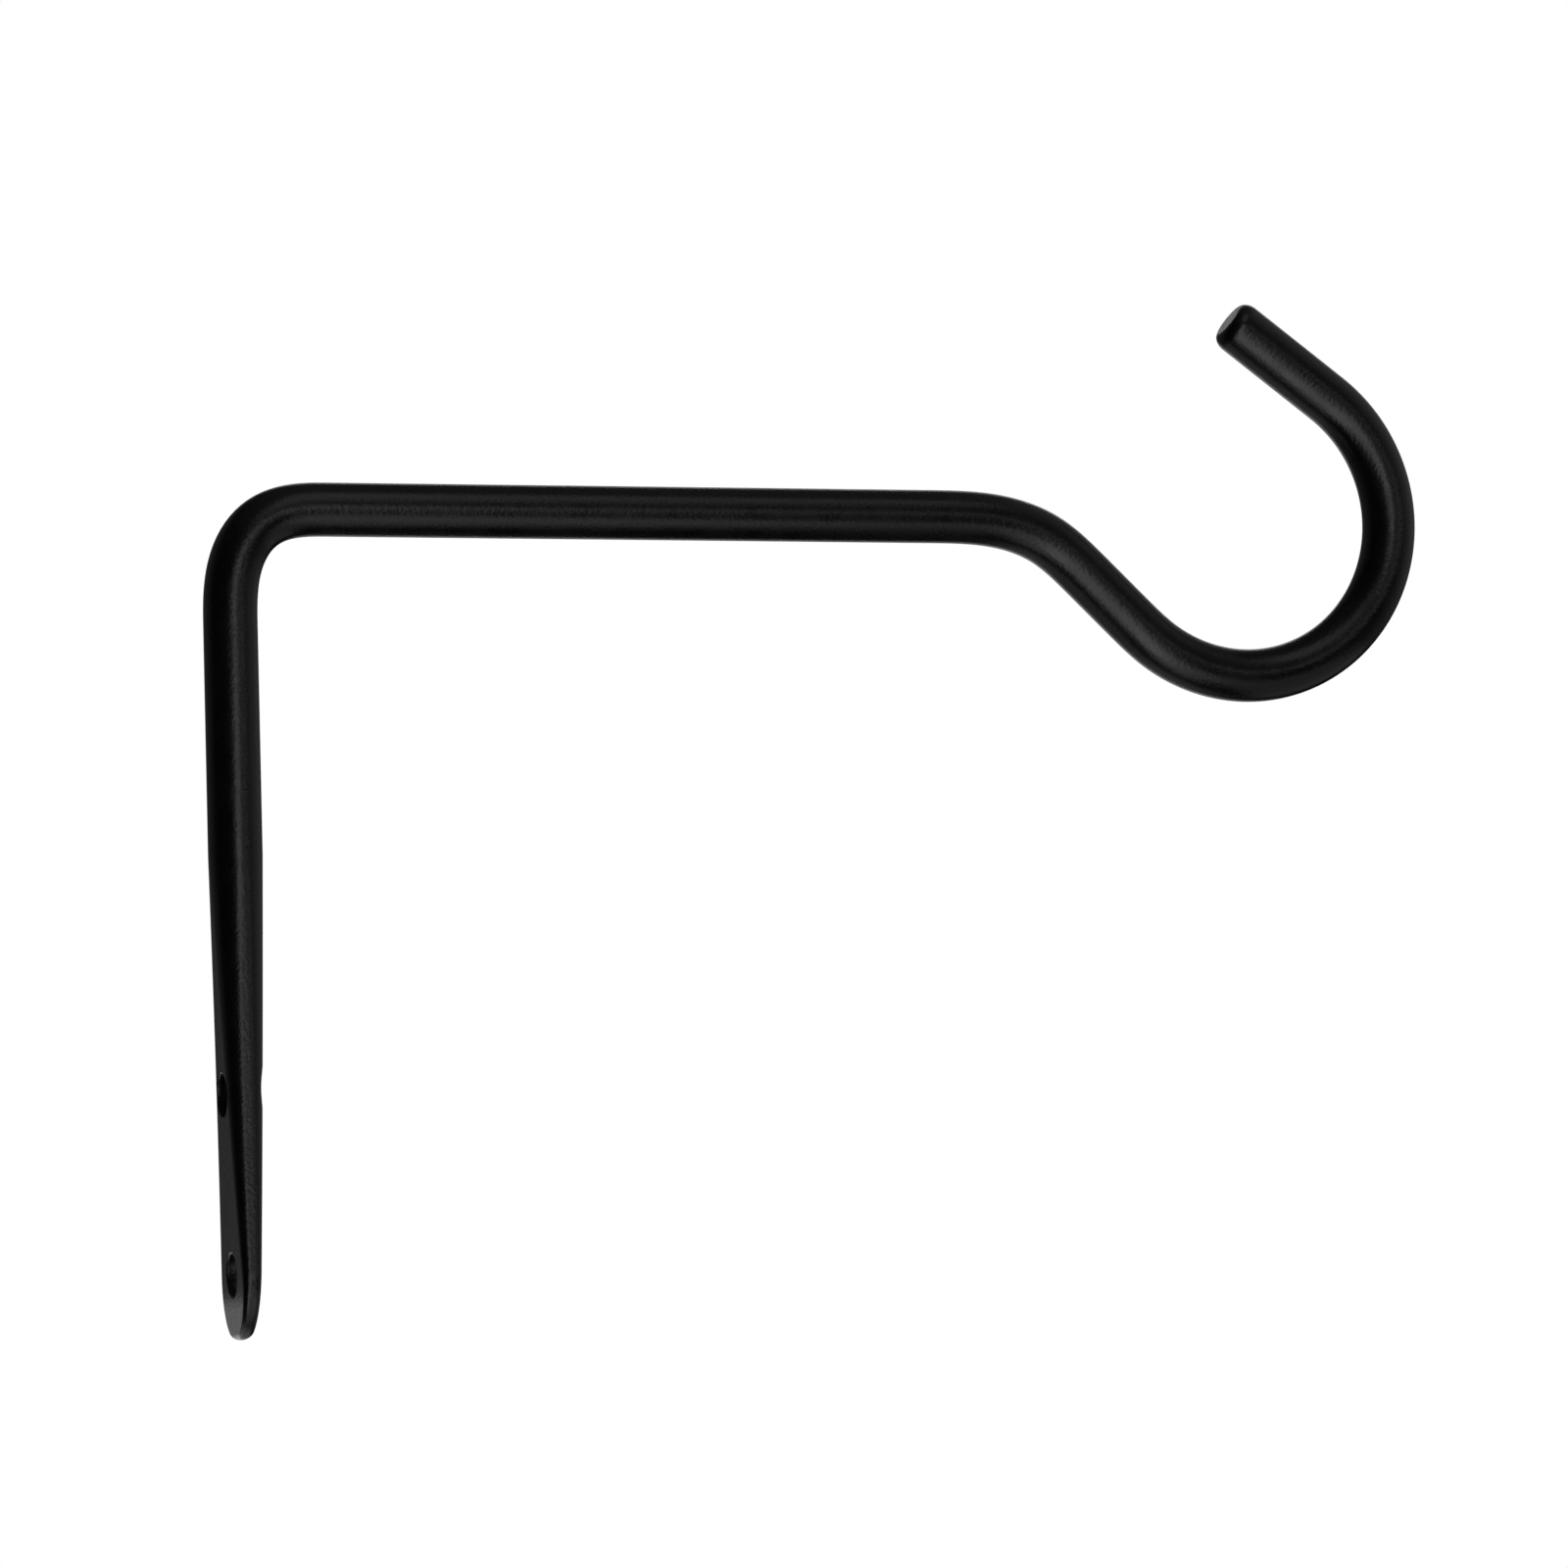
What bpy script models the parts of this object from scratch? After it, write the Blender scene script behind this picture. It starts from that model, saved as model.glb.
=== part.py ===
"""Wall plant hook: one round steel bar, forged flat at its foot and bent into an arm and an open hook.

The bar stands in the XZ plane. The origin lies midway between the two screw holes, on the foot's
flat wall face. +X points out of the wall, +Z points up, and the part is alike on both sides of y = 0.
"""

import math

import bpy
import numpy as np

# Bar stock, with its coat
BAR_DIAMETER = 0.0065

# Forged foot: it thins and fans out from the round bar down to its end
FOOT_LENGTH = 0.0573
FOOT_END_THICKNESS = 0.00165
FOOT_END_WIDTH = 0.0133
FOOT_END_ROUND_LENGTH = 0.0079
FOOT_END_CORNER_SHARE = 0.65
THINNING_STEADY_SHARE = 0.82
FANNING_STEADY_SHARE = 0.2

# Screw holes, punched through the foot and countersunk from the front
HOLE_DIAMETER = 0.0051
HOLE_SPACING = 0.0213
LOWER_HOLE_HEIGHT = 0.0077
COUNTERSINK_DIAMETER = 0.0074
COUNTERSINK_ANGLE = math.radians(90.0)
CUT_OVERRUN = 0.001

# Straight runs of round bar, from the foot to the tip
LEG_LENGTH = 0.02735
ARM_LENGTH = 0.0755
NECK_LENGTH = 0.0075
TIP_LENGTH = 0.0154

# Bends, measured on the bar's centreline: radius, turn, and how softly each starts and ends
CORNER_RADIUS = 0.0071
CORNER_TURN = math.radians(-90.0)
CORNER_EASE_SHARES = (0.63, 0.37)
DROP_RADIUS = 0.0141
DROP_TURN = math.radians(-44.3)
DROP_EASE_SHARES = (0.7, 0.3)
HOOK_RADIUS = 0.01925
HOOK_TURN = math.radians(187.2)
HOOK_EASE_SHARES = (0.075, 0.01)

# Rounded rim of the cut tip: how far it reaches along the bar, and inwards over the end face
TIP_EDGE_LENGTH = 0.0017
TIP_EDGE_INSET = 0.0012

# Fineness of the surface
BAR_SIDES = 36
HOLE_SIDES = 36
FOOT_END_RINGS = 12
FOOT_RINGS = 14
TIP_EDGE_RINGS = 6
TURN_PER_RING = math.radians(8.0)
PATH_STEPS = 400
SHARP_ANGLE = math.radians(35.0)

# Satin black powder coat
COAT_COLOUR = (0.004, 0.004, 0.0042, 1.0)
COAT_ROUGHNESS = 0.34
COAT_METALLIC = 0.0

FOOT_END_HEIGHT = -(LOWER_HOLE_HEIGHT + HOLE_SPACING / 2)
STRAIGHT_EASE_SHARES = (0.5, 0.5)


def clear_scene():
    """Remove whatever the file opened with."""
    for existing in list(bpy.data.objects):
        bpy.data.objects.remove(existing, do_unlink=True)


def powder_coat(name):
    """Satin black coat over steel."""
    material = bpy.data.materials.new(name)
    material.use_nodes = True
    shader = material.node_tree.nodes["Principled BSDF"]
    shader.inputs["Base Color"].default_value = COAT_COLOUR
    shader.inputs["Roughness"].default_value = COAT_ROUGHNESS
    shader.inputs["Metallic"].default_value = COAT_METALLIC
    return material


def lofted_mesh(name, rings):
    """One closed skin over a row of rings with as many points each, flat at both ends."""
    ring_count, sides = len(rings), len(rings[0])
    faces = [tuple(reversed(range(sides)))]
    for ring in range(ring_count - 1):
        base = ring * sides
        for side in range(sides):
            following = (side + 1) % sides
            faces.append((base + side, base + following, base + sides + following, base + sides + side))
    faces.append(tuple(range((ring_count - 1) * sides, ring_count * sides)))
    mesh = bpy.data.meshes.new(name)
    mesh.from_pydata([tuple(point) for ring in rings for point in ring], [], faces)
    mesh.validate()
    mesh.shade_smooth()
    mesh.set_sharp_from_angle(angle=SHARP_ANGLE)
    return mesh


def add_object(name, mesh):
    """Put a mesh into the scene as a named object."""
    placed = bpy.data.objects.new(name, mesh)
    bpy.context.scene.collection.objects.link(placed)
    return placed


def eased(down, steady_share):
    """Rise from 0 to 1, partly steady and partly growing with the square of the way down."""
    return steady_share * down + (1 - steady_share) * down**2


def foot_thickness(height):
    """Thickness of the foot at a height above its end."""
    down = 1 - height / FOOT_LENGTH
    return BAR_DIAMETER - (BAR_DIAMETER - FOOT_END_THICKNESS) * eased(down, THINNING_STEADY_SHARE)


def foot_width(height):
    """Width of the foot at a height above its end, drawn in by the rounded end."""
    down = 1 - height / FOOT_LENGTH
    fan = BAR_DIAMETER + (FOOT_END_WIDTH - BAR_DIAMETER) * eased(down, FANNING_STEADY_SHARE)
    return fan * round_over(height, FOOT_END_ROUND_LENGTH)


def round_over(distance, reach):
    """Quarter-ellipse share of the full size, from 0 at an edge to 1 where the rounding ends."""
    left = max(1 - distance / reach, 0.0)
    return math.sqrt(1 - left**2)


def leg_lean():
    """Heading of the leg off the vertical: it carries on the middle line of the thinning foot."""
    return math.atan((BAR_DIAMETER - FOOT_END_THICKNESS) / 2 * THINNING_STEADY_SHARE / FOOT_LENGTH)


def section_ring(centre, heading, width, thickness, corner_share):
    """Ring across the bar: four rounded corners with flats between them, square to the heading.

    The corner share is the corners' radius over half the thickness, and 1 in a round bar. The sides
    are counted so that a flat one faces the wall, and each touches the true round.
    """
    side_angle = 2 * math.pi / BAR_SIDES
    angles = (np.arange(BAR_SIDES) + 0.5) * side_angle
    corner_radius = corner_share * thickness / 2
    point_radius = corner_radius / math.cos(side_angle / 2)
    through = point_radius * np.cos(angles) + np.sign(np.cos(angles)) * (thickness / 2 - corner_radius)
    across = point_radius * np.sin(angles) + np.sign(np.sin(angles)) * (width / 2 - corner_radius)
    x = centre[0] + through * math.sin(heading)
    z = centre[1] - through * math.cos(heading)
    return np.column_stack((x, across, z))


def foot_rings():
    """Rings from the foot's rounded end up to the round bar, all with their backs on x = 0."""
    shares = np.arange(1, FOOT_END_RINGS + 1) / FOOT_END_RINGS
    end_heights = FOOT_END_ROUND_LENGTH * shares**2
    heights = np.concatenate((end_heights, np.linspace(end_heights[-1], FOOT_LENGTH, FOOT_RINGS + 1)[1:]))
    rings = []
    for height in heights:
        full_thickness = foot_thickness(height)
        thickness = full_thickness * round_over(height, FOOT_END_THICKNESS / 2)
        width = max(foot_width(height), thickness)
        corner_share = 1 - (1 - FOOT_END_CORNER_SHARE) * (1 - height / FOOT_LENGTH)
        centre = (full_thickness / 2, FOOT_END_HEIGHT + height)
        rings.append(section_ring(centre, math.pi / 2, width, thickness, corner_share))
    return rings


def bend_length(radius, turn, ease_shares):
    """Length of bar in a bend that eases in and out over shares of that length."""
    return radius * abs(turn) / (1 - sum(ease_shares) / 2)


def follow_stretch(start, length, turn, ease_shares):
    """Stations (x, z, heading) along one stretch, at equal steps of turn.

    The curvature climbs over the first ease share, holds, and falls over the last, so that a bend
    flows out of the straights beside it. A straight is a stretch that turns by nothing.
    """
    x, z, heading = start
    along = np.linspace(0.0, 1.0, PATH_STEPS + 1)
    middle = (along[1:] + along[:-1]) / 2
    curvature = np.interp(middle, (0.0, ease_shares[0], 1 - ease_shares[1], 1.0), (0.0, 1.0, 1.0, 0.0))
    turned = np.concatenate(([0.0], np.cumsum(curvature)))
    turned /= turned[-1]
    headings = heading + turn * turned
    step_headings = (headings[1:] + headings[:-1]) / 2
    step = length / PATH_STEPS
    xs = x + np.concatenate(([0.0], np.cumsum(np.cos(step_headings)))) * step
    zs = z + np.concatenate(([0.0], np.cumsum(np.sin(step_headings)))) * step
    ring_count = max(1, math.ceil(abs(turn) / TURN_PER_RING))
    targets = np.arange(1, ring_count + 1) / ring_count
    picks = [np.interp(targets, turned, values) for values in (xs, zs, headings)]
    return list(zip(*picks))


def bar_path():
    """Stations of the round bar's centreline, from the top of the foot to the cut tip."""
    stretches = (
        (LEG_LENGTH, 0.0, STRAIGHT_EASE_SHARES),
        (bend_length(CORNER_RADIUS, CORNER_TURN, CORNER_EASE_SHARES), CORNER_TURN, CORNER_EASE_SHARES),
        (ARM_LENGTH, 0.0, STRAIGHT_EASE_SHARES),
        (bend_length(DROP_RADIUS, DROP_TURN, DROP_EASE_SHARES), DROP_TURN, DROP_EASE_SHARES),
        (NECK_LENGTH, 0.0, STRAIGHT_EASE_SHARES),
        (bend_length(HOOK_RADIUS, HOOK_TURN, HOOK_EASE_SHARES), HOOK_TURN, HOOK_EASE_SHARES),
        (TIP_LENGTH - TIP_EDGE_LENGTH, 0.0, STRAIGHT_EASE_SHARES),
    )
    station = (BAR_DIAMETER / 2, FOOT_END_HEIGHT + FOOT_LENGTH, math.pi / 2 - leg_lean())
    stations = []
    for length, turn, ease_shares in stretches:
        stations += follow_stretch(station, length, turn, ease_shares)
        station = stations[-1]
    return stations


def tip_rings(station):
    """Rings round the rim of the cut tip, shrinking to its flat end face."""
    x, z, heading = station
    rings = []
    for ring in range(1, TIP_EDGE_RINGS + 1):
        angle = math.pi / 2 * ring / TIP_EDGE_RINGS
        advance = TIP_EDGE_LENGTH * math.sin(angle)
        diameter = BAR_DIAMETER - 2 * TIP_EDGE_INSET * (1 - math.cos(angle))
        centre = (x + advance * math.cos(heading), z + advance * math.sin(heading))
        rings.append(section_ring(centre, heading, diameter, diameter, 1))
    return rings


def hook_bar():
    """The whole bar: forged foot, leg, corner, arm, drop bend, neck, hook and tip."""
    stations = bar_path()
    rings = foot_rings()
    rings += [section_ring((x, z), heading, BAR_DIAMETER, BAR_DIAMETER, 1) for x, z, heading in stations]
    rings += tip_rings(stations[-1])
    return add_object("hook_bar", lofted_mesh("hook_bar", rings))


def turned_ring(x, radius):
    """Ring of one radius round the X axis."""
    angles = np.arange(HOLE_SIDES) * 2 * math.pi / HOLE_SIDES
    return np.column_stack((np.full(HOLE_SIDES, x), radius * np.cos(angles), radius * np.sin(angles)))


def screw_hole_cutter(name, height):
    """Straight hole from the wall face that opens into a cone at the front face."""
    front = foot_thickness(height - FOOT_END_HEIGHT)
    slope = math.tan(COUNTERSINK_ANGLE / 2)
    sink_depth = (COUNTERSINK_DIAMETER - HOLE_DIAMETER) / 2 / slope
    rings = [
        turned_ring(-CUT_OVERRUN, HOLE_DIAMETER / 2),
        turned_ring(front - sink_depth, HOLE_DIAMETER / 2),
        turned_ring(front + CUT_OVERRUN, COUNTERSINK_DIAMETER / 2 + CUT_OVERRUN * slope),
    ]
    cutter = add_object(name, lofted_mesh(name, rings))
    cutter.location = (0.0, 0.0, height)
    cutter.hide_render = True
    cutter.display_type = 'WIRE'
    return cutter


def cut_hole(target, cutter):
    """Take the cutter's shape out of the target."""
    boolean = target.modifiers.new(cutter.name, 'BOOLEAN')
    boolean.operation = 'DIFFERENCE'
    boolean.solver = 'EXACT'
    boolean.object = cutter


def build():
    clear_scene()
    bar = hook_bar()
    bar.data.materials.append(powder_coat("black_powder_coat"))
    for name, height in (("upper_screw_hole", HOLE_SPACING / 2), ("lower_screw_hole", -HOLE_SPACING / 2)):
        cutter = screw_hole_cutter(name, height)
        cutter.parent = bar
        cut_hole(bar, cutter)


build()
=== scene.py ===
"""Looks of the wall plant hook: a fine coated bar, soft studio light and the photograph's viewing angle.

Lengths are in metres and the frame is the part's own: the origin lies on the foot's wall face, midway
between the screw holes, +X points out of the wall and +Z points up.
"""

from collections import namedtuple
import math

import bpy
import numpy as np
from mathutils import Matrix, Vector


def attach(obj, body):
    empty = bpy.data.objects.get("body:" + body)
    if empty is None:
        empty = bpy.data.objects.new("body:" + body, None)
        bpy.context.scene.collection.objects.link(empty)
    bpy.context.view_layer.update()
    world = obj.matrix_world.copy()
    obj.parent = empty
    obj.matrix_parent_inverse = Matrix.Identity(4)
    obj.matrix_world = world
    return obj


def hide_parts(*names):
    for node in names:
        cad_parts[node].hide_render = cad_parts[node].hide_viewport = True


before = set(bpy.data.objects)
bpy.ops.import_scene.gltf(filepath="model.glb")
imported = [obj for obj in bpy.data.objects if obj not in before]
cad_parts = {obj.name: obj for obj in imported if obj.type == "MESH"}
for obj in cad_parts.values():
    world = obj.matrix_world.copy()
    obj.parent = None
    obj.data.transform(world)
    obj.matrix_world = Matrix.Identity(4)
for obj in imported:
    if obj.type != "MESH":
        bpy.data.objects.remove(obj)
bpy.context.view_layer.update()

Bend = namedtuple("Bend", "radius turn ease_shares")
GrainLayer = namedtuple("GrainLayer", "name scale detail")
SoftBox = namedtuple("SoftBox", "name aim azimuth elevation distance lean width height strength")
Glow = namedtuple("Glow", "azimuth elevation cosines brightness")

# Bar and forged foot
BAR_DIAMETER = 0.0065
FOOT_LENGTH = 0.0573
FOOT_END_THICKNESS = 0.00165
FOOT_END_WIDTH = 0.0133
FOOT_END_ROUND_LENGTH = 0.0079
FOOT_END_CORNER_SHARE = 0.65
THINNING_STEADY_SHARE = 0.82
FANNING_STEADY_SHARE = 0.2

# Screw holes, with the soft edges that the coat gives them
HOLE_DIAMETER = 0.0051
HOLE_SPACING = 0.0213
LOWER_HOLE_HEIGHT = 0.0077
COUNTERSINK_DIAMETER = 0.0074
COUNTERSINK_ANGLE = math.radians(90.0)
RIM_SOFTNESS = 0.0003
HOLE_EDGE_RADIUS = 0.00025
HOLE_RADIUS = HOLE_DIAMETER / 2
HOLE_HEIGHTS = (HOLE_SPACING / 2, -HOLE_SPACING / 2)
FOOT_END_HEIGHT = -(LOWER_HOLE_HEIGHT + HOLE_SPACING / 2)

# Straights and bends in the order they follow the bar. A bend's shares of its length ease in and out
LEG_LENGTH = 0.02735
CORNER = Bend(radius=0.0071, turn=math.radians(-90.0), ease_shares=(0.63, 0.37))
ARM_LENGTH = 0.0755
DROP = Bend(radius=0.0141, turn=math.radians(-44.3), ease_shares=(0.7, 0.3))
NECK_LENGTH = 0.0075
HOOK = Bend(radius=0.01925, turn=math.radians(187.2), ease_shares=(0.075, 0.01))
TIP_LENGTH = 0.0154
TIP_EDGE_LENGTH = 0.0017
TIP_EDGE_INSET = 0.0012
STRAIGHT_EASE_SHARES = (0.5, 0.5)

# Fineness of the surface
SIDES = 144
FOOT_RING_GAP = 0.00035
BAR_RING_GAP = 0.0007
FOOT_END_RINGS = 40
FOOT_END_RINGS_LENGTH = FOOT_END_ROUND_LENGTH / 3
TIP_EDGE_RINGS = 20
TIP_FACE_RINGS = 10
PATCH_HALF_COLUMNS = 28
PATCH_HALF_HEIGHT = 0.0044
PATCH_LOOPS = 26
PATCH_CROWDING = 1.5
WALL_LOOPS = 6
PATH_STEPS = 6000

# Powder coat: the layers of its grain with their scales per metre, how deep it bumps the light, and how
# black and how rough it is where the mottle is at the low and the high end of its range
GRAIN_LAYERS = (
    GrainLayer("Pebble", scale=2300.0, detail=1.0),
    GrainLayer("Grit", scale=8000.0, detail=2.0),
    GrainLayer("Mottle", scale=260.0, detail=4.0),
)
GRAIN_UNEVENNESS = 0.55
GRIT_SHARE = 0.25
GRAIN_DEPTH = 0.00003
MOTTLE_RANGE = (0.3, 0.7)
COAT_BLACKS = ((0.0002, 0.0002, 0.00021, 1.0), (0.0006, 0.0006, 0.00063, 1.0))
COAT_ROUGHNESSES = (0.24, 0.31)
COAT_REFRACTION = 1.5

# Camera: where it looks, from which side, how far and how wide. Its angles are in degrees
CAMERA_AIM = Vector((0.071828, 0.0, 0.045396))
CAMERA_DISTANCE = 1.1
CAMERA_AZIMUTH = -17.2
CAMERA_ELEVATION = -5.0
CAMERA_ROLL = -3.469
CAMERA_FIELD = 9.8548

# Floor, with the distances between which it fades to white, and the white that the eye sees
FLOOR_HEIGHT = -0.6
FLOOR_SIZE = 12.0
FLOOR_COLOUR = (0.86, 0.86, 0.86, 1.0)
FLOOR_ROUGHNESS = 0.9
FLOOR_FADE = (0.75, 1.5)
WHITE = (1.0, 1.0, 1.0, 1.0)
WHITE_STRENGTH = 1.0

# Lamps: each faces its aim from a side and leans about that line, all in degrees. The strength is the
# brightness of its face
SET_CENTRE = Vector((0.07, 0.0, 0.045))
BELOW_TOE = Vector((0.0, 0.0, -0.0215))
LAMPS = (
    SoftBox("front_box", SET_CENTRE, azimuth=-12.0, elevation=-20.0, distance=0.84,
            lean=-28.0, width=0.33, height=1.25, strength=1.4),
    SoftBox("low_box", SET_CENTRE, azimuth=-4.0, elevation=-52.4, distance=0.3,
            lean=63.0, width=0.35, height=0.164, strength=0.61),
    SoftBox("high_box", SET_CENTRE, azimuth=10.9, elevation=46.8, distance=0.93,
            lean=55.0, width=0.72, height=0.383, strength=0.436),
    SoftBox("right_strip", SET_CENTRE, azimuth=32.0, elevation=6.7, distance=3.2,
            lean=0.0, width=1.52, height=0.186, strength=1.6),
    SoftBox("low_right_box", SET_CENTRE, azimuth=75.6, elevation=-46.2, distance=0.48,
            lean=-5.0, width=0.8, height=0.39, strength=0.258),
    SoftBox("under_foot_card", SET_CENTRE, azimuth=-106.0, elevation=-51.0, distance=0.12,
            lean=0.0, width=0.05, height=0.05, strength=0.5),
    SoftBox("toe_card", BELOW_TOE, azimuth=-166.0, elevation=-3.0, distance=0.026,
            lean=0.0, width=0.024, height=0.02, strength=0.34),
)

# World: plain light all round, and the dim room that the coat mirrors. Each glow of the room lies towards
# a side in degrees, and rises from black to its brightness between two cosines of the angle to its middle.
# Where the second cosine is above 1, the glow stays soft up to its middle and a little below its brightness
AMBIENT_STRENGTH = 0.75
ROOM_GLOWS = (
    Glow(azimuth=176.3, elevation=-17.0, cosines=(0.91, 0.99), brightness=0.75),
    Glow(azimuth=158.0, elevation=22.4, cosines=(0.93, 0.98), brightness=1.12),
    Glow(azimuth=91.8, elevation=20.6, cosines=(0.52, 1.02), brightness=0.27),
    Glow(azimuth=-153.8, elevation=0.0, cosines=(0.46, 0.91), brightness=0.075),
    Glow(azimuth=51.0, elevation=62.9, cosines=(0.35, 1.05), brightness=0.08),
    Glow(azimuth=-152.0, elevation=-55.2, cosines=(0.85, 1.03), brightness=0.38),
)


def eased(down, steady_share):
    """Rise from 0 to 1, partly steady and partly growing with the square of the way down."""
    return steady_share * down + (1 - steady_share) * down**2


def round_over(distance, reach):
    """Quarter-ellipse share of the full size: the root of 1 less the square of what is left to the reach."""
    left = np.maximum(1 - distance / reach, 0.0)
    return np.sqrt(1 - left**2)


def foot_thickness(height):
    """Full thickness of the foot at heights above its end."""
    down = 1 - height / FOOT_LENGTH
    return BAR_DIAMETER - (BAR_DIAMETER - FOOT_END_THICKNESS) * eased(down, THINNING_STEADY_SHARE)


def foot_sections(height):
    """Centre off the wall, width, thickness and corner radius of the foot at heights above its end.

    The corner radius is half the thickness, times a share that falls evenly down the foot.
    """
    full_thickness = foot_thickness(height)
    thickness = full_thickness * round_over(height, FOOT_END_THICKNESS / 2)
    down = 1 - height / FOOT_LENGTH
    fan = BAR_DIAMETER + (FOOT_END_WIDTH - BAR_DIAMETER) * eased(down, FANNING_STEADY_SHARE)
    width = np.maximum(fan * round_over(height, FOOT_END_ROUND_LENGTH), thickness)
    corner = thickness / 2 * (1 - (1 - FOOT_END_CORNER_SHARE) * down)
    return full_thickness / 2, width, thickness, corner


def foot_faces(across, height):
    """Back and front of the foot over points (across, height): centre less and plus the half depth.

    The half depth is half the thickness less the corner radius, plus the root of the squared corner
    radius less the squared way past the flat's end.
    """
    centre, width, thickness, corner = foot_sections(height)
    past_flat = np.maximum(np.abs(across) - (width / 2 - corner), 0.0)
    half_depth = thickness / 2 - corner + np.sqrt(np.maximum(corner**2 - past_flat**2, 0.0))
    return centre - half_depth, centre + half_depth


def follow_stretch(start, length, turn, ease_shares):
    """Stations (x, z, heading) along one stretch: curvature rises, holds and falls in a trapezoid.

    The heading is the running sum of the curvature, and the place the running sum of the heading's
    cosine and sine, times the step.
    """
    along = np.linspace(0.0, 1.0, PATH_STEPS + 1)
    middle = (along[1:] + along[:-1]) / 2
    curvature = np.interp(middle, (0.0, ease_shares[0], 1 - ease_shares[1], 1.0), (0.0, 1.0, 1.0, 0.0))
    turned = np.concatenate(([0.0], np.cumsum(curvature)))
    headings = start[2] + turn * turned / turned[-1]
    steps = (headings[1:] + headings[:-1]) / 2
    step = length / PATH_STEPS
    xs = start[0] + np.concatenate(([0.0], np.cumsum(np.cos(steps)))) * step
    zs = start[1] + np.concatenate(([0.0], np.cumsum(np.sin(steps)))) * step
    ring_count = math.ceil(length / BAR_RING_GAP)
    picks = np.arange(1, ring_count + 1) / ring_count
    return np.column_stack([np.interp(picks, along, values) for values in (xs, zs, headings)])


def bar_stations():
    """Stations of the round bar from the top of the foot to where the tip's rim starts to round."""
    lean = math.atan((BAR_DIAMETER - FOOT_END_THICKNESS) / 2 * THINNING_STEADY_SHARE / FOOT_LENGTH)
    start = np.array((BAR_DIAMETER / 2, FOOT_END_HEIGHT + FOOT_LENGTH, math.pi / 2 - lean))
    rows = []
    for stretch in (LEG_LENGTH, CORNER, ARM_LENGTH, DROP, NECK_LENGTH, HOOK, TIP_LENGTH - TIP_EDGE_LENGTH):
        if isinstance(stretch, Bend):
            length = stretch.radius * abs(stretch.turn) / (1 - sum(stretch.ease_shares) / 2)
            rows.append(follow_stretch(start, length, stretch.turn, stretch.ease_shares))
        else:
            rows.append(follow_stretch(start, stretch, 0.0, STRAIGHT_EASE_SHARES))
        start = rows[-1][-1]
    return np.concatenate(rows)


def sections(stations, widths, thicknesses, corners):
    """Grid of points, one row a station: each row walks at even steps round four corners and four flats.

    The angle turned is the length walked round the corners over their radius. The place is the way
    walked along the flats, plus the radius turned by that angle, set square to the station's heading.
    """
    radius = corners[:, None]
    quarter = math.pi / 2 * radius
    half_face = widths[:, None] / 2 - radius
    side = thicknesses[:, None] - 2 * radius
    stretches = (half_face, quarter, side, quarter, 2 * half_face, quarter, side, quarter, half_face)
    left = sum(stretches) * np.arange(SIDES) / SIDES
    walked = []
    for stretch in stretches:
        walked.append(np.clip(left, 0, stretch))
        left = left - stretch
    turned = (walked[1] + walked[3] + walked[5] + walked[7]) / radius
    across = radius * np.sin(turned) + walked[0] - walked[4] + walked[8]
    through = radius * np.cos(turned) + side / 2 - walked[2] + walked[6]
    x, z, heading = (column[:, None] for column in stations.T)
    return np.stack((x + through * np.sin(heading), across, z - through * np.cos(heading)), axis=-1)


def round_sections(stations, diameters):
    """Grid of round sections."""
    return sections(stations, diameters, diameters, diameters / 2)


def foot_grid():
    """Heights and grid of the foot: rings crowd towards its rounded end as the square of their share."""
    end_shares = np.arange(1, FOOT_END_RINGS + 1) / FOOT_END_RINGS
    end_heights = FOOT_END_RINGS_LENGTH * end_shares**2
    ring_count = math.ceil((FOOT_LENGTH - end_heights[-1]) / FOOT_RING_GAP)
    heights = np.concatenate((end_heights, np.linspace(end_heights[-1], FOOT_LENGTH, ring_count + 1)[1:]))
    centre, width, thickness, corner = foot_sections(heights)
    upright = np.full(len(heights), math.pi / 2)
    stations = np.column_stack((centre, FOOT_END_HEIGHT + heights, upright))
    return heights, sections(stations, width, thickness, corner)


def tip_grid(station):
    """Rings round the tip's rim by a quarter ellipse, then across its end face towards the middle."""
    x, z, heading = station
    angles = math.pi / 2 * np.arange(1, TIP_EDGE_RINGS + 1) / TIP_EDGE_RINGS
    face_shares = 1 - np.arange(1, TIP_FACE_RINGS) / TIP_FACE_RINGS
    face_radius = BAR_DIAMETER / 2 - TIP_EDGE_INSET
    advance = np.concatenate((TIP_EDGE_LENGTH * np.sin(angles), np.full(len(face_shares), TIP_EDGE_LENGTH)))
    radius = np.concatenate((face_radius + TIP_EDGE_INSET * np.cos(angles), face_radius * face_shares))
    stations = np.column_stack((x + advance * math.cos(heading), z + advance * math.sin(heading),
                                np.full(len(radius), heading)))
    return round_sections(stations, 2 * radius)


def smooth_least(first, second, softness):
    """The lesser of two heights, less a quarter of the softness times their squared closeness."""
    closeness = np.maximum(softness - np.abs(first - second), 0.0) / softness
    return np.minimum(first, second) - closeness**2 * softness / 4


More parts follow.
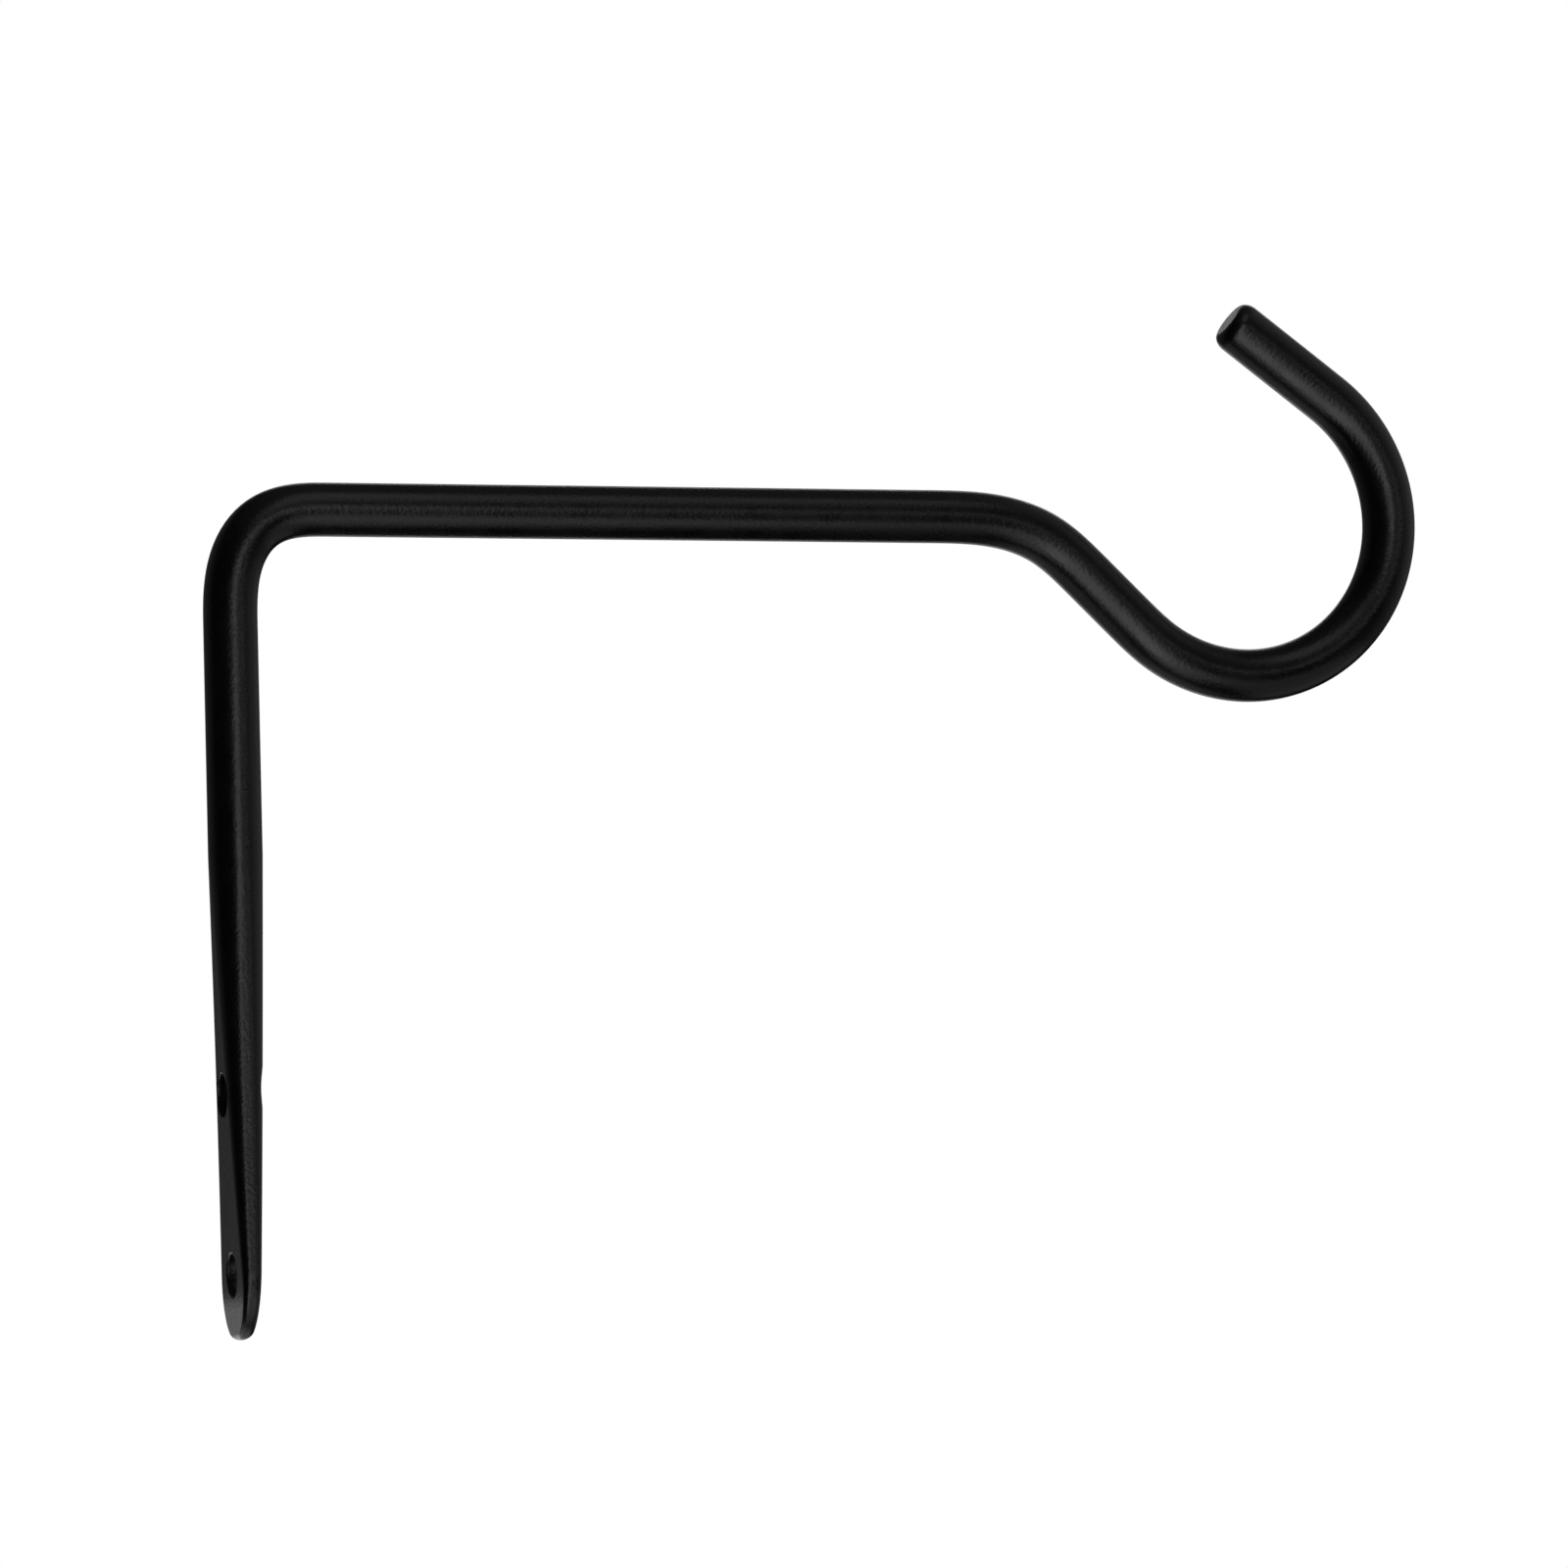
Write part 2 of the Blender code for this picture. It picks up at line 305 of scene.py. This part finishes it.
def patch_rims(index, heights, hole_height):
    """Rows of the grid that one hole's patch takes, and the point numbers of its front and back rims."""
    level = hole_height - FOOT_END_HEIGHT
    low = int(np.searchsorted(heights, level - PATCH_HALF_HEIGHT))
    high = int(np.searchsorted(heights, level + PATCH_HALF_HEIGHT))
    columns = np.arange(-PATCH_HALF_COLUMNS, PATCH_HALF_COLUMNS + 1)
    side_rows = np.arange(low + 1, high)
    side = np.full(len(side_rows), PATCH_HALF_COLUMNS)
    rim_rows = np.concatenate((np.full(len(columns), low), side_rows,
                               np.full(len(columns), high), side_rows[::-1]))
    rim_columns = np.concatenate((columns, side, columns[::-1], -side))
    front_rim = index[rim_rows, rim_columns % SIDES]
    back_rim = index[rim_rows, (SIDES // 2 - rim_columns) % SIDES]
    return slice(low, high), front_rim, back_rim


def hole_loops(rim, hole_height):
    """Loops of points that lead from a rim on the front, down through one screw hole, to one on the back.

    Each point keeps its direction from the hole's middle. The front is the smooth lesser of the foot's
    front and the countersink's cone, the back is the foot's back, and both round into the straight wall
    by a quarter circle.
    """
    across, up = rim[:, 0], rim[:, 1] - hole_height
    reach = np.hypot(across, up)
    shares = (1 - np.arange(1, PATCH_LOOPS + 1) / PATCH_LOOPS)[:, None] ** PATCH_CROWDING
    radii = HOLE_RADIUS + (reach - HOLE_RADIUS) * shares
    across, up = radii * across / reach, radii * up / reach
    back, front = foot_faces(across, hole_height + up - FOOT_END_HEIGHT)
    slope = 1 / math.tan(COUNTERSINK_ANGLE / 2)
    cone = foot_thickness(hole_height - FOOT_END_HEIGHT) - (COUNTERSINK_DIAMETER / 2 - radii) * slope
    left = np.maximum(HOLE_RADIUS + HOLE_EDGE_RADIUS - radii, 0.0)
    rounded = HOLE_EDGE_RADIUS - np.sqrt(np.maximum(HOLE_EDGE_RADIUS**2 - left**2, 0.0))
    front = smooth_least(front, cone, RIM_SOFTNESS) - rounded
    back = back + rounded
    wall_shares = (np.arange(1, WALL_LOOPS + 1) / (WALL_LOOPS + 1))[:, None]
    wall = front[-1] + (back[-1] - front[-1]) * wall_shares
    depths = np.concatenate((front, wall, back[::-1]))
    across = np.concatenate((across, np.repeat(across[-1:], WALL_LOOPS, axis=0), across[::-1]))
    up = np.concatenate((up, np.repeat(up[-1:], WALL_LOOPS, axis=0), up[::-1]))
    return np.stack((depths, across, hole_height + up), axis=-1)


def ring_quads(index):
    """Quads between the rows of closed rings of point numbers."""
    following = np.roll(index, -1, axis=1)
    return np.stack((index[:-1], following[:-1], following[1:], index[1:]), axis=-1).reshape(-1, 4)


def bar_surface():
    """Points, quads and triangles of the whole bar: one grid, with a tube of loops let in at each hole."""
    heights, foot = foot_grid()
    stations = bar_stations()
    bar = round_sections(stations, np.full(len(stations), BAR_DIAMETER))
    grid = np.concatenate((foot, bar, tip_grid(stations[-1])))
    count = len(grid) * SIDES
    index = np.arange(count).reshape(-1, SIDES)
    kept = np.ones((len(grid) - 1, SIDES), dtype=bool)
    patch_columns = np.arange(-PATCH_HALF_COLUMNS, PATCH_HALF_COLUMNS)
    points = [grid.reshape(-1, 3)]
    quads = []
    for hole_height in HOLE_HEIGHTS:
        patch_rows, front_rim, back_rim = patch_rims(index, heights, hole_height)
        loops = hole_loops(points[0][front_rim][:, 1:], hole_height)
        inner = count + np.arange(loops.shape[0] * loops.shape[1]).reshape(loops.shape[:2])
        count += inner.size
        points.append(loops.reshape(-1, 3))
        quads.append(ring_quads(np.concatenate((front_rim[None], inner, back_rim[None]))))
        kept[patch_rows, patch_columns % SIDES] = False
        kept[patch_rows, patch_columns + SIDES // 2] = False
    quads.append(ring_quads(index)[kept.reshape(-1)])
    foot_middle = ((grid[0, 0, 0] + grid[0, SIDES // 2, 0]) / 2, 0.0, FOOT_END_HEIGHT)
    tip_middle = (grid[-1, 0] + grid[-1, SIDES // 2]) / 2
    points.append(np.array((foot_middle, tip_middle)))
    following = np.roll(np.arange(SIDES), -1)
    foot_pole = np.column_stack((index[0][following], index[0], np.full(SIDES, count)))
    tip_pole = np.column_stack((index[-1], index[-1][following], np.full(SIDES, count + 1)))
    return np.concatenate(points), np.concatenate(quads), np.concatenate((foot_pole, tip_pole))


def closed_mesh(name, points, quads, triangles):
    """Mesh of those faces, with the points that none of them uses left out."""
    corners = np.concatenate((quads.reshape(-1), triangles.reshape(-1)))
    used, corners = np.unique(corners, return_inverse=True)
    quad_corners = corners[:quads.size].reshape(-1, 4)
    triangle_corners = corners[quads.size:].reshape(-1, 3)
    mesh = bpy.data.meshes.new(name)
    mesh.from_pydata(points[used].tolist(), [], quad_corners.tolist() + triangle_corners.tolist())
    mesh.shade_smooth()
    return mesh


def add_object(name, data):
    """Put a mesh, lamp or camera into the scene as a named object."""
    placed = bpy.data.objects.new(name, data)
    bpy.context.scene.collection.objects.link(placed)
    return placed


def add_node(tree, kind, **values):
    """Add a shader node and set its inputs by name, with underscores for spaces."""
    node = tree.nodes.new(kind)
    for name, value in values.items():
        node.inputs[name.replace("_", " ")].default_value = value
    return node


def add_math(tree, operation, first, second):
    """Value that a math node works out from two others."""
    node = tree.nodes.new("ShaderNodeMath")
    node.operation = operation
    tree.links.new(first, node.inputs[0])
    tree.links.new(second, node.inputs[1])
    return node.outputs["Value"]


def smooth_rise(tree, value, low, high, top):
    """Value that climbs smoothly from 0 to a top while another one goes from low to high."""
    climb = add_node(tree, "ShaderNodeMapRange", From_Min=low, From_Max=high, To_Min=0.0, To_Max=top)
    climb.interpolation_type = 'SMOOTHSTEP'
    tree.links.new(value, climb.inputs["Value"])
    return climb.outputs["Result"]


def powder_grain_group():
    """Grain of baked powder: the height of soft pebbles with a share of finer grit, and a slow mottle."""
    group = bpy.data.node_groups.new("powder_grain", "ShaderNodeTree")
    group.interface.new_socket("Vector", in_out='INPUT', socket_type='NodeSocketVector')
    group.interface.new_socket("Grit Share", in_out='INPUT', socket_type='NodeSocketFloat')
    for layer in GRAIN_LAYERS:
        group.interface.new_socket(layer.name + " Scale", in_out='INPUT', socket_type='NodeSocketFloat')
    for name in ("Height", "Mottle"):
        group.interface.new_socket(name, in_out='OUTPUT', socket_type='NodeSocketFloat')
    entry = group.nodes.new("NodeGroupInput")
    leave = group.nodes.new("NodeGroupOutput")
    noises = {}
    for layer in GRAIN_LAYERS:
        noise = add_node(group, "ShaderNodeTexNoise", Detail=layer.detail, Roughness=GRAIN_UNEVENNESS)
        group.links.new(entry.outputs["Vector"], noise.inputs["Vector"])
        group.links.new(entry.outputs[layer.name + " Scale"], noise.inputs["Scale"])
        noises[layer.name] = noise.outputs["Fac"]
    height = group.nodes.new("ShaderNodeMath")
    height.operation = 'MULTIPLY_ADD'
    group.links.new(noises["Grit"], height.inputs[0])
    group.links.new(entry.outputs["Grit Share"], height.inputs[1])
    group.links.new(noises["Pebble"], height.inputs[2])
    group.links.new(height.outputs["Value"], leave.inputs["Height"])
    group.links.new(noises["Mottle"], leave.inputs["Mottle"])
    return group


def powder_coat(name):
    """Satin black powder coat: its grain bumps the light, and the mottle shifts its black and its gloss."""
    material = bpy.data.materials.new(name)
    material.use_nodes = True
    tree = material.node_tree
    shader = tree.nodes["Principled BSDF"]
    shader.inputs["Metallic"].default_value = 0.0
    shader.inputs["IOR"].default_value = COAT_REFRACTION
    place = tree.nodes.new("ShaderNodeTexCoord")
    grain = tree.nodes.new("ShaderNodeGroup")
    grain.node_tree = powder_grain_group()
    grain.inputs["Grit Share"].default_value = GRIT_SHARE
    for layer in GRAIN_LAYERS:
        grain.inputs[layer.name + " Scale"].default_value = layer.scale
    tree.links.new(place.outputs["Object"], grain.inputs["Vector"])
    colour = tree.nodes.new("ShaderNodeValToRGB")
    for stop, share, black in zip(colour.color_ramp.elements, MOTTLE_RANGE, COAT_BLACKS):
        stop.position = share
        stop.color = black
    tree.links.new(grain.outputs["Mottle"], colour.inputs["Fac"])
    tree.links.new(colour.outputs["Color"], shader.inputs["Base Color"])
    gloss = add_node(tree, "ShaderNodeMapRange", From_Min=MOTTLE_RANGE[0], From_Max=MOTTLE_RANGE[1],
                     To_Min=COAT_ROUGHNESSES[0], To_Max=COAT_ROUGHNESSES[1])
    tree.links.new(grain.outputs["Mottle"], gloss.inputs["Value"])
    tree.links.new(gloss.outputs["Result"], shader.inputs["Roughness"])
    bump = add_node(tree, "ShaderNodeBump", Strength=1.0, Distance=GRAIN_DEPTH)
    tree.links.new(grain.outputs["Height"], bump.inputs["Height"])
    tree.links.new(bump.outputs["Normal"], shader.inputs["Normal"])
    return material


def coated_bar():
    """The whole hook bar in place of its plainer solid."""
    bar = add_object("coated_bar", closed_mesh("coated_bar", *bar_surface()))
    bar.data.materials.append(powder_coat("black_powder_coat"))
    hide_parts("hook_bar")
    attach(bar, "root")


def pale_floor():
    """Matt pale material that fades to plain white far out, for the eye alone."""
    material = bpy.data.materials.new("pale_floor")
    material.use_nodes = True
    tree = material.node_tree
    matt = tree.nodes["Principled BSDF"]
    matt.inputs["Base Color"].default_value = FLOOR_COLOUR
    matt.inputs["Roughness"].default_value = FLOOR_ROUGHNESS
    place = tree.nodes.new("ShaderNodeTexCoord")
    away = tree.nodes.new("ShaderNodeVectorMath")
    away.operation = 'LENGTH'
    tree.links.new(place.outputs["Object"], away.inputs[0])
    far = smooth_rise(tree, away.outputs["Value"], FLOOR_FADE[0], FLOOR_FADE[1], 1.0)
    rays = tree.nodes.new("ShaderNodeLightPath")
    faded = add_math(tree, 'MULTIPLY', far, rays.outputs["Is Camera Ray"])
    white = add_node(tree, "ShaderNodeEmission", Color=WHITE, Strength=WHITE_STRENGTH)
    blend = tree.nodes.new("ShaderNodeMixShader")
    tree.links.new(faded, blend.inputs["Fac"])
    tree.links.new(matt.outputs["BSDF"], blend.inputs[1])
    tree.links.new(white.outputs["Emission"], blend.inputs[2])
    tree.links.new(blend.outputs["Shader"], tree.nodes["Material Output"].inputs["Surface"])
    return material


def floor():
    """Plain square floor, well below the hook because a wall carries it."""
    half = FLOOR_SIZE / 2
    sides = ((-half, -half), (half, -half), (half, half), (-half, half))
    mesh = bpy.data.meshes.new("floor")
    mesh.from_pydata([(x, y, FLOOR_HEIGHT) for x, y in sides], [], [(0, 1, 2, 3)])
    mesh.materials.append(pale_floor())
    ground = add_object("floor", mesh)
    ground.visible_glossy = False


def direction(azimuth, elevation):
    """Unit vector towards an azimuth, which runs from -Y towards +X, and an elevation, both in degrees."""
    azimuth = math.radians(azimuth)
    elevation = math.radians(elevation)
    flat = math.cos(elevation)
    return Vector((math.sin(azimuth) * flat, -math.cos(azimuth) * flat, math.sin(elevation)))


def soft_box(box):
    """Rectangular lamp that faces its aim and stays out of the picture."""
    lamp = bpy.data.lights.new(box.name, 'AREA')
    lamp.shape = 'RECTANGLE'
    lamp.size = box.width
    lamp.size_y = box.height
    lamp.energy = box.strength * math.pi * box.width * box.height
    away = direction(box.azimuth, box.elevation)
    facing = away.to_track_quat('Z', 'Y').to_matrix() @ Matrix.Rotation(math.radians(box.lean), 3, 'Z')
    placed = add_object(box.name, lamp)
    placed.matrix_world = Matrix.Translation(box.aim + away * box.distance) @ facing.to_4x4()
    placed.visible_camera = False


def room_glow(tree, place, glow):
    """Brightness of one glow of the room in the direction that is looked at."""
    product = tree.nodes.new("ShaderNodeVectorMath")
    product.operation = 'DOT_PRODUCT'
    product.inputs[1].default_value = direction(glow.azimuth, glow.elevation)
    tree.links.new(place.outputs["Generated"], product.inputs[0])
    return smooth_rise(tree, product.outputs["Value"], glow.cosines[0], glow.cosines[1], glow.brightness)


def studio_world():
    """White background to the eye, the dim room in what a surface mirrors, and plain light for the rest."""
    world = bpy.data.worlds.new("studio")
    bpy.context.scene.world = world
    world.use_nodes = True
    tree = world.node_tree
    tree.nodes.clear()
    place = tree.nodes.new("ShaderNodeTexCoord")
    rays = tree.nodes.new("ShaderNodeLightPath")
    room = room_glow(tree, place, ROOM_GLOWS[0])
    for glow in ROOM_GLOWS[1:]:
        room = add_math(tree, 'MAXIMUM', room, room_glow(tree, place, glow))
    mirrored = add_math(tree, 'MAXIMUM', rays.outputs["Is Glossy Ray"], rays.outputs["Is Transmission Ray"])
    unseen = add_node(tree, "ShaderNodeMix", A=AMBIENT_STRENGTH)
    tree.links.new(mirrored, unseen.inputs["Factor"])
    tree.links.new(room, unseen.inputs["B"])
    strength = add_node(tree, "ShaderNodeMix", B=WHITE_STRENGTH)
    tree.links.new(rays.outputs["Is Camera Ray"], strength.inputs["Factor"])
    tree.links.new(unseen.outputs["Result"], strength.inputs["A"])
    light = add_node(tree, "ShaderNodeBackground", Color=WHITE)
    leave = tree.nodes.new("ShaderNodeOutputWorld")
    tree.links.new(strength.outputs["Result"], light.inputs["Strength"])
    tree.links.new(light.outputs["Background"], leave.inputs["Surface"])


def camera():
    """Camera on the photograph's viewing line, slightly below the hook and to the wall's side."""
    azimuth = math.radians(CAMERA_AZIMUTH)
    roll = math.radians(CAMERA_ROLL)
    back = direction(CAMERA_AZIMUTH, CAMERA_ELEVATION)
    level_right = Vector((math.cos(azimuth), math.sin(azimuth), 0.0))
    level_up = back.cross(level_right)
    right = level_right * math.cos(roll) + level_up * math.sin(roll)
    up = back.cross(right)
    data = bpy.data.cameras.new("camera")
    data.angle = math.radians(CAMERA_FIELD)
    placed = add_object("camera", data)
    turn = Matrix((right, up, back)).transposed()
    placed.matrix_world = Matrix.Translation(CAMERA_AIM + back * CAMERA_DISTANCE) @ turn.to_4x4()
    bpy.context.scene.camera = placed


bpy.context.scene.view_settings.view_transform = 'Standard'
camera()
coated_bar()
floor()
for box in LAMPS:
    soft_box(box)
studio_world()
